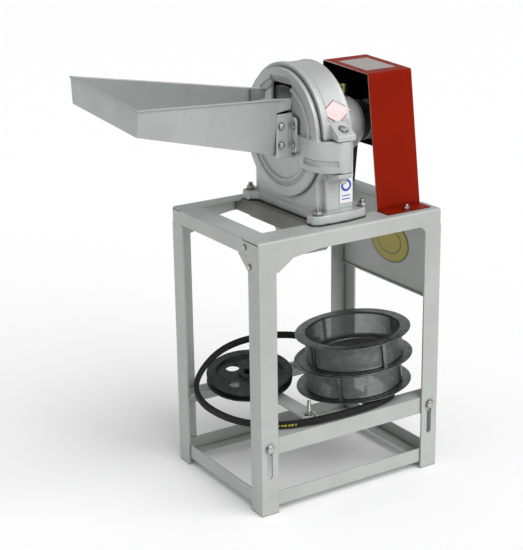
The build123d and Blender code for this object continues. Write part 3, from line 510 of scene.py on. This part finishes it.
BASE_BOLTS = ((0.061, 0.125), (0.174, 0.119))
bm = bmesh.new()
for x, y in BASE_BOLTS:
    for s in (-1, 1):
        bolt(bm, (x, s * y, TABLE_UNDER), (0, 0, 1), M10, 0.016, 0.0065, 0.024, 0.007, twist=x * 9)
new_piece("base_fasteners", bm, "stand_and_mill", "zinc", zinc, replaces=["base_bolts"])

bm = bmesh.new()
for s in (-1, 1):
    bolt(bm, (0.272, s * 0.140, TABLE_UNDER), (0, 0, 1), M8, 0.013, 0.005, 0.006, 0.004)
new_piece("guard_fasteners", bm, "stand_and_mill", "zinc", zinc, replaces=["guard_bolts"])

# Cross bolts through the feed box's tabs, and bolts through its flange into the door.
SCREW_SHANK = [(0.0002, 0), (M6, 0), (M6, 0.008), (0.0002, 0.008)]

bm = bmesh.new()
for z in (0.732, 0.770):
    for s in (-1, 1):
        bolt(bm, (0.027, s * 0.0394, z), (0, s, 0), M6, 0.010, 0.004, 0.0076, 0.002, False, z * 30)
        at = (0.0495, s * 0.058, z)
        hex_body(bm, at, (1, 0, 0), 0.0105, -0.004, 0, z * 50)
        lathe(bm, SCREW_SHANK, at, (1, 0, 0), 16, closed=False)
new_piece("feed_fasteners", bm, "door_and_tray", "zinc", zinc, replaces=["feed_bolts"])

# ---------------------------------------------------------------- castings


# Drum band, along x, with the radii that count as its skin; and the pedestal's recessed near flank.
BAND_FRONT, BAND_BACK, BAND_DEPTH = 0.0805, 0.134, 0.0022
BAND_INSIDE, BAND_OUTSIDE = 0.1372, 0.1408
FLANK_FRONT, FLANK_BACK, FLANK_DEPTH = 0.111, 0.1465, 0.0014
FLANK_Y, FLANK_LOW, FLANK_HIGH = -0.1255, 0.602, 0.668


def turned_steps(v):
    """Sets the drum's band back behind its front ring, and the pedestal's flank behind its corner."""
    x, y, z = v.co
    r = math.hypot(y, z - AXIS_Z)
    if BAND_FRONT < x < BAND_BACK and BAND_INSIDE < r < BAND_OUTSIDE:
        drop = BAND_DEPTH * min(1, (x - BAND_FRONT) / 0.002) * min(1, (BAND_BACK - x) / 0.006)
        v.co.y -= y / r * drop
        v.co.z -= (z - AXIS_Z) / r * drop
    elif FLANK_FRONT < x < FLANK_BACK and y < FLANK_Y and FLANK_LOW < z < FLANK_HIGH:
        v.co.y += FLANK_DEPTH * min(1, (x - FLANK_FRONT) / 0.0015)


casting("mill_housing", "drum_casting", "stand_and_mill", cast_paint, carve=turned_steps)
casting("door feed_box", "door_casting", "door_and_tray", cast_paint, 0.0014, 9)
casting("bearing_housing", "bearing_casting", "stand_and_mill", cast_paint)
casting("motor_pulley", "loose_pulley_casting", "loose_pulley", black_iron, 0.0010, 3, 0.0001)
casting("spare_disc", "spare_disc_casting", "upper_sieve", dark_iron, 0.0010, 3, 0.0001)


# ---------------------------------------------------------------- belt guard

# The hood's inside: half width under its top, growing downwards by its own slope on each flank.
GUARD_TOP_INSIDE, GUARD_TOP_TILT = 0.862, 0.0506
GUARD_HALF_TOP, NEAR_SLOPE, FAR_SLOPE = 0.079, 0.1341, 0.1303
GUARD_FOOT_TOP = 0.5835
GUARD_EDGE_X, GUARD_BACK_X = 0.217, 0.3245
RED, BLACK, EDGE_HIGHLIGHT = 0, 1, 2

guard = bpy.data.objects.new("guard_hood", nodes["belt_guard"].data.copy())
scene.collection.objects.link(guard)
guard.data.materials.clear()
for material in (guard_red, guard_black, guard_edge_highlight):
    guard.data.materials.append(material)
for face in guard.data.polygons:
    c, n = face.center, face.normal
    top = GUARD_TOP_INSIDE + c.y * GUARD_TOP_TILT
    half = GUARD_HALF_TOP + (top - c.z) * (NEAR_SLOPE if c.y < 0 else FAR_SLOPE)
    inner = c.z > GUARD_FOOT_TOP and abs(c.y) < half - 0.0012 and c.z < top - 0.001
    # The sheet's front edge faces take the light metal as a painted highlight.
    if abs(n.x) > 0.9 and c.x < GUARD_EDGE_X:
        face.material_index = EDGE_HIGHLIGHT if c.z > 0.583 else RED
    elif inner and not (n.x > 0.9 and c.x > GUARD_BACK_X):
        face.material_index = BLACK
shade(guard, 30)
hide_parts("belt_guard")
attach(guard, "stand_and_mill")


# ---------------------------------------------------------------- sieves


# A sieve's rims: outer and inner radius, the radius of the screen that they hold, and their height.
RIM_OUTER, RIM_LIP, RIM_SCREEN = 0.1245, 0.1018, 0.105
RIM_WALL, SIEVE_HEIGHT = 0.0025, 0.061
RIM_SEGMENTS = 128
SHEET_RADIUS, SHEET_LOW, SHEET_HIGH, SHEET_MARGIN = 0.1042, 0.0026, 0.0584, 0.003
SHEET_SEGMENTS = 160


def sieve_frame(name, node, body, origin, normal, turn):
    """Two rims joined by four upright bars."""
    n = Vector(normal).normalized()
    basis = Vector((0, 0, 1)).rotation_difference(n).to_matrix()
    bm = bmesh.new()
    wall, outer, lip, screen = RIM_WALL, RIM_OUTER, RIM_LIP, RIM_SCREEN
    for base in (0.0, SIEVE_HEIGHT - wall):
        profile = [
            (lip, base + 0.0004),
            (lip + 0.0004, base),
            (outer - 0.0012, base),
            (outer, base + 0.0009),
            (outer, base + wall - 0.0009),
            (outer - 0.0012, base + wall),
            (lip + 0.0004, base + wall),
            (lip, base + wall - 0.0004),
        ]
        lathe(bm, profile, origin, n, RIM_SEGMENTS)
    for i in range(4):
        a = math.radians(turn + 90 * i)
        across = basis @ Vector((-math.sin(a), math.cos(a), 0))
        out = basis @ Vector((math.cos(a), math.sin(a), 0))
        centre = Vector(origin)
        inside, outside = screen + 0.0002, screen + 0.0038
        corners = [(-0.004, inside), (0.004, inside), (0.0038, outside), (-0.0038, outside)]
        rings = []
        for z in (wall, SIEVE_HEIGHT - wall):
            rings.append([bm.verts.new(centre + across * u + out * v + n * z) for u, v in corners])
        for j in range(4):
            k = (j + 1) % 4
            bm.faces.new((rings[0][j], rings[0][k], rings[1][k], rings[1][j]))
        cap_ring(bm, rings[0])
        cap_ring(bm, rings[1])
        bead_start = centre + across * -0.004 + out * (screen + 0.004) + n * (wall + 0.0006)
        bead_end = centre + across * 0.004 + out * (screen + 0.004) + n * (wall + 0.0006)
        weld(bm, bead_start, bead_end, 0.0012, 0.0016)
    new_piece(name, bm, body, "sieve_steel", sieve_rim, replaces=[node])


def sieve_screen(name, node, body, origin, normal, columns, rows, fill):
    """Perforated steel band: every cell is a real hole in a ring of sheet."""
    n = Vector(normal).normalized()
    basis = Vector((0, 0, 1)).rotation_difference(n).to_matrix()
    radius, low, high, margin = SHEET_RADIUS, SHEET_LOW, SHEET_HIGH, SHEET_MARGIN
    bm = bmesh.new()
    pitch_u = TAU / columns
    pitch_v = (high - low - 2 * margin) / rows

    def at(angle, height):
        return Vector(origin) + basis @ Vector((radius * math.cos(angle), radius * math.sin(angle), height))

    for j in range(rows):
        shift = 0.5 * (j % 2)
        for i in range(columns):
            ca = (i + shift) * pitch_u
            cz = low + margin + (j + 0.5) * pitch_v
            outer = []
            inner = []
            for k in range(8):
                t = TAU * (k + 0.5) / 8
                cu, cv = math.cos(t), math.sin(t)
                top = max(abs(cu), abs(cv))
                outer.append(bm.verts.new(at(ca + pitch_u * 0.5 * cu / top, cz + pitch_v * 0.5 * cv / top)))
                hole = fill * 0.5 * min(pitch_u * radius, pitch_v)
                inner.append(bm.verts.new(at(ca + hole * cu / radius, cz + hole * cv)))
            for k in range(8):
                m = (k + 1) % 8
                bm.faces.new((outer[k], outer[m], inner[m], inner[k]))
    for base, top in ((low, low + margin), (high - margin, high)):
        ring = []
        for i in range(SHEET_SEGMENTS):
            angle = i * TAU / SHEET_SEGMENTS
            ring.append((bm.verts.new(at(angle, base)), bm.verts.new(at(angle, top))))
        for i in range(SHEET_SEGMENTS):
            a, b = ring[i], ring[(i + 1) % SHEET_SEGMENTS]
            bm.faces.new((a[0], b[0], b[1], a[1]))
    bmesh.ops.remove_doubles(bm, verts=bm.verts[:], dist=0.00001)
    obj = new_piece(name, bm, body, "sieve_steel", sieve_steel, replaces=[node])
    thick = obj.modifiers.new("sheet", "SOLIDIFY")
    thick.thickness = 0.0008
    thick.offset = 0


# The two spare sieves lie tilted on the belt; the upper one stands a little off the lower one's axis.
LOWER = (0.2135, -0.040, 0.181)
TILT = Vector((-0.079, 0.05, 1)).normalized()
TILT_X = Vector((1, 0, 0.079)).normalized()
TILT_Y = TILT.cross(TILT_X)
UPPER = Vector(LOWER) + TILT_X * 0.0065 - TILT_Y * 0.004 + TILT * SIEVE_HEIGHT
DRUM_SIEVE = (0.0682, 0, AXIS_Z)
ALONG_X = (1, 0, 0)
sieve_frame("lower_sieve_rims", "lower_sieve_frame", "lower_sieve", LOWER, TILT, 39.5)
sieve_frame("upper_sieve_rims", "upper_sieve_frame", "upper_sieve", UPPER, TILT, 1)
sieve_frame("drum_sieve_rims", "chamber_sieve_frame", "stand_and_mill", DRUM_SIEVE, ALONG_X, 0)
sieve_screen("lower_sieve_band", "lower_sieve_screen", "lower_sieve", LOWER, TILT, 250, 20, 0.40)
sieve_screen("upper_sieve_band", "upper_sieve_screen", "upper_sieve", UPPER, TILT, 220, 18, 0.5)
sieve_screen("drum_sieve_band", "chamber_sieve_screen", "stand_and_mill", DRUM_SIEVE, ALONG_X, 170, 14, 0.62)

# ---------------------------------------------------------------- drive belt

belt_s = Shader("belt_rubber", (0.010, 0.010, 0.010), 0.66, Specular_IOR_Level=0.25)
belt_s.colour(belt_s.mix(belt_s.noise(90, 5), (0.004, 0.004, 0.004), (0.014, 0.0135, 0.013)))
belt_s.bump(belt_s.voronoi(900), 0.4, 0.0002)
belt_s.bump(belt_s.noise(500, 3), 0.3, 0.0002)
belt_rubber = belt_s.material

# The belt's route around the shelf, in millimetres, as control points of its middle line.
BELT = (
    (-97, -66, 172), (-52, -126, 174), (-3, -149, 176), (56, -157, 176), (115, -160, 176),
    (175, -157, 176), (231, -146, 176), (269, -115, 174), (286, -59, 172), (290, 5, 172),
    (290, 62, 171), (281, 103, 182), (222, 128, 228), (142, 125, 254), (60, 123, 265),
    (-14, 121, 260), (-65, 118, 233), (-103, 106, 196), (-112, 61, 174), (-110, -2, 172),
)


def smooth_loop(points, steps=12):
    """Closed uniform cubic B-spline through the loop of control points."""
    made = []
    count = len(points)
    for i in range(count):
        p = [Vector(points[(i + k - 1) % count]) for k in range(4)]
        for s in range(steps):
            t = s / steps
            w = ((1 - t) ** 3, 3 * t**3 - 6 * t * t + 4, -3 * t**3 + 3 * t * t + 3 * t + 1, t**3)
            made.append(sum((p[k] * w[k] for k in range(4)), Vector()) / 6)
    return made


route = [p * MM for p in smooth_loop(BELT)]
middle = sum(route, Vector()) / len(route)


def belt_axes(here, along):
    """Directions across the belt and out of its loop."""
    out = here - middle
    out = (out - along * out.dot(along)).normalized()
    return along.cross(out), out


bm = bmesh.new()
half_top, half_low, half_high = 0.0075, 0.0048, 0.0050
section = (
    (-half_top, half_high),
    (-half_top * 0.97, half_high * 1.1),
    (half_top * 0.97, half_high * 1.1),
    (half_top, half_high),
    (half_low, -half_high),
    (-half_low, -half_high),
)
rings = []
for i, here in enumerate(route):
    across, out = belt_axes(here, (route[(i + 1) % len(route)] - route[i - 1]).normalized())
    rings.append([bm.verts.new(here + across * (u * 0.87) + out * (v * 1.05)) for u, v in section])
for i in range(len(rings)):
    a, b = rings[i], rings[(i + 1) % len(rings)]
    for j in range(len(section)):
        k = (j + 1) % len(section)
        bm.faces.new((a[j], a[k], b[k], b[j]))
new_piece("belt_loop", bm, "motor_shelf", "belt_rubber", belt_rubber, replaces=["drive_belt"], angle=50)

# Worn yellow dashes on the outside of the belt.
FIRST_DASH, DASH_COUNT, DASH_HALF = 14, 9, 0.0022
BELT_SKIN, DASH_THICK = 0.0059, 0.0003
bm = bmesh.new()
for i in range(FIRST_DASH, FIRST_DASH + DASH_COUNT):
    here, ahead = route[i], route[i + 1]
    along = (ahead - here).normalized()
    across, out = belt_axes(here, along)
    long_dash = 0.0022 + 0.0012 * (i % 3)
    start = here + out * BELT_SKIN
    outline = ((-DASH_HALF, 0), (DASH_HALF, 0), (DASH_HALF, long_dash), (-DASH_HALF, long_dash))
    corners = [start + across * u + along * v for u, v in outline]
    low = [bm.verts.new(c) for c in corners]
    high = [bm.verts.new(c + out * DASH_THICK) for c in corners]
    cap_ring(bm, low)
    cap_ring(bm, high)
    for j in range(4):
        k = (j + 1) % 4
        bm.faces.new((low[j], low[k], high[k], high[j]))
new_piece("belt_dashes", bm, "motor_shelf", "belt_rubber", print_yellow, smooth=False)

# ---------------------------------------------------------------- labels


DIAMOND_X, DIAMOND_ANGLE = 0.105, math.radians(155.5)
DRUM_RADIUS, DIAMOND_RADIUS = 0.1380, 0.1381


def drum_place(u, v, h):
    """Point on the drum's outside: u along the shaft, v up along the surface."""
    angle = DIAMOND_ANGLE - v / DRUM_RADIUS
    r = DIAMOND_RADIUS + h
    return Vector((DIAMOND_X + u, r * math.cos(angle), AXIS_Z + r * math.sin(angle)))


def ellipse(half_u, half_v, count, centre_v=0):
    angles = [TAU * i / count for i in range(count)]
    return [(half_u * math.cos(a), centre_v + half_v * math.sin(a)) for a in angles]


def rectangle(half_u, low_v, high_v):
    return [(-half_u, low_v), (half_u, low_v), (half_u, high_v), (-half_u, high_v)]


def diamond(half_u, half_v, steps=8):
    """Outline of a diamond with enough points along its sides to follow the drum."""
    corners = [(-half_u, 0), (0, -half_v), (half_u, 0), (0, half_v)]
    points = []
    for (u0, v0), (u1, v1) in zip(corners, corners[1:] + corners[:1]):
        points += [(u0 + (u1 - u0) * i / steps, v0 + (v1 - v0) * i / steps) for i in range(steps)]
    return points


bm = bmesh.new()
plate(bm, diamond(0.0360, 0.0240), drum_place, 0.0004, 0)
plate(bm, diamond(0.0337, 0.0224), drum_place, 0.0006, 1)
new_piece("diamond_label", bm, "stand_and_mill", "casting_paint", print_maroon, print_pink, smooth=False)


MARK_CENTRE = (0.129, -0.1260, 0.6435)


def pedestal_place(u, v, h):
    """Point on the pedestal's near flank."""
    x, y, z = MARK_CENTRE
    return Vector((x + u, y - h, z + v))


bm = bmesh.new()
plate(bm, rectangle(0.0155, -0.028, 0.028), pedestal_place, 0.0005, 0)
plate(bm, ellipse(0.0125, 0.0125, 24, 0.008), pedestal_place, 0.0007, 1)
plate(bm, ellipse(0.0075, 0.0075, 24, 0.008), pedestal_place, 0.0009, 0)
for v in (-0.013, -0.020):
    plate(bm, rectangle(0.010, v - 0.001, v + 0.001), pedestal_place, 0.0007, 1)
new_piece("round_mark_label", bm, "stand_and_mill", "casting_paint", print_white, print_blue, smooth=False)


STICKER_CENTRE = (0.3327, 0.005, 0.470)


def panel_place(u, v, h):
    """Point on the inside of the rear panel."""
    x, y, z = STICKER_CENTRE
    return Vector((x - h, u - y, z + v))


bm = bmesh.new()
oval = ellipse(0.067, 0.047, 64)
plate(bm, oval, panel_place, 0.0005, 1)
plate(bm, [(u * 0.95, v * 0.94) for u, v in oval], panel_place, 0.0007, 0)
plate(bm, [(u * 0.62, v * 0.60) for u, v in oval], panel_place, 0.0009, 1)
plate(bm, [(u * 0.58, v * 0.55) for u, v in oval], panel_place, 0.0011, 0)
new_piece("oval_sticker", bm, "stand_and_mill", "stand_paint", print_yellow, print_green, smooth=False)


GUARD_MIDDLE_X, GUARD_TOP = 0.2685, 0.8621


def guard_place(u, v, h):
    """Point on the guard's sloping top."""
    return Vector((GUARD_MIDDLE_X + u, v, GUARD_TOP + v * GUARD_TOP_TILT + h))


bm = bmesh.new()
plate(bm, rectangle(0.037, -0.052, 0.046), guard_place, 0.0004, 0)
new_piece("guard_label", bm, "stand_and_mill", "guard_paint", print_silver, smooth=False)

# ---------------------------------------------------------------- studio

FLOOR_HALF = 14
floor_s = Shader("floor", (0.95, 0.95, 0.95), 0.85, Specular_IOR_Level=0.1)
bm = bmesh.new()
corners = [bm.verts.new((x * FLOOR_HALF, y * FLOOR_HALF, 0)) for x, y in ((-1, -1), (1, -1), (1, 1), (-1, 1))]
bm.faces.new(corners)
mesh = bpy.data.meshes.new("floor")
bm.to_mesh(mesh)
bm.free()
mesh.materials.append(floor_s.material)
floor = bpy.data.objects.new("floor", mesh)
scene.collection.objects.link(floor)

world = bpy.data.worlds.new("studio")
scene.world = world
world.use_nodes = True
background = world.node_tree.nodes["Background"]
background.inputs["Color"].default_value = (1.0, 1.0, 1.0, 1)
background.inputs["Strength"].default_value = 0.45


def far_light(name, direction, power, spread):
    """Large distant soft source, so that near and far floor are lit alike."""
    data = bpy.data.lights.new(name, "SUN")
    data.energy = power
    data.angle = math.radians(spread)
    obj = bpy.data.objects.new(name, data)
    scene.collection.objects.link(obj)
    obj.rotation_euler = Vector(direction).to_track_quat("Z", "Y").to_euler()


far_light("key", (0.25, -1.0, 1.1), 2.25, 60)
far_light("side", (-1.0, -0.2, 1.3), 0.35, 80)

AZIMUTH, ELEVATION, ROLL = (math.radians(a) for a in (-32.207, 18.241, -0.844))
CAMERA_AT = (-1.5092, -2.4058, 1.3889)
SENSOR = 36
FOCAL_PIXELS, IMAGE_HEIGHT = 1450.86, 550
level = math.cos(ELEVATION)
back = Vector((math.sin(AZIMUTH) * level, -math.cos(AZIMUTH) * level, math.sin(ELEVATION)))
across = (-back).cross(Vector((0, 0, 1))).normalized()
up = across.cross(-back)
c, s = math.cos(ROLL), math.sin(ROLL)
view = Matrix((c * across + s * up, c * up - s * across, back)).transposed()
camera_data = bpy.data.cameras.new("camera")
camera_data.sensor_width = SENSOR
camera_data.lens = FOCAL_PIXELS * SENSOR / IMAGE_HEIGHT
camera_data.clip_end = 60
camera = bpy.data.objects.new("camera", camera_data)
scene.collection.objects.link(camera)
camera.matrix_world = Matrix.Translation(CAMERA_AT) @ view.to_4x4()
scene.camera = camera
scene.view_settings.view_transform = "Standard"
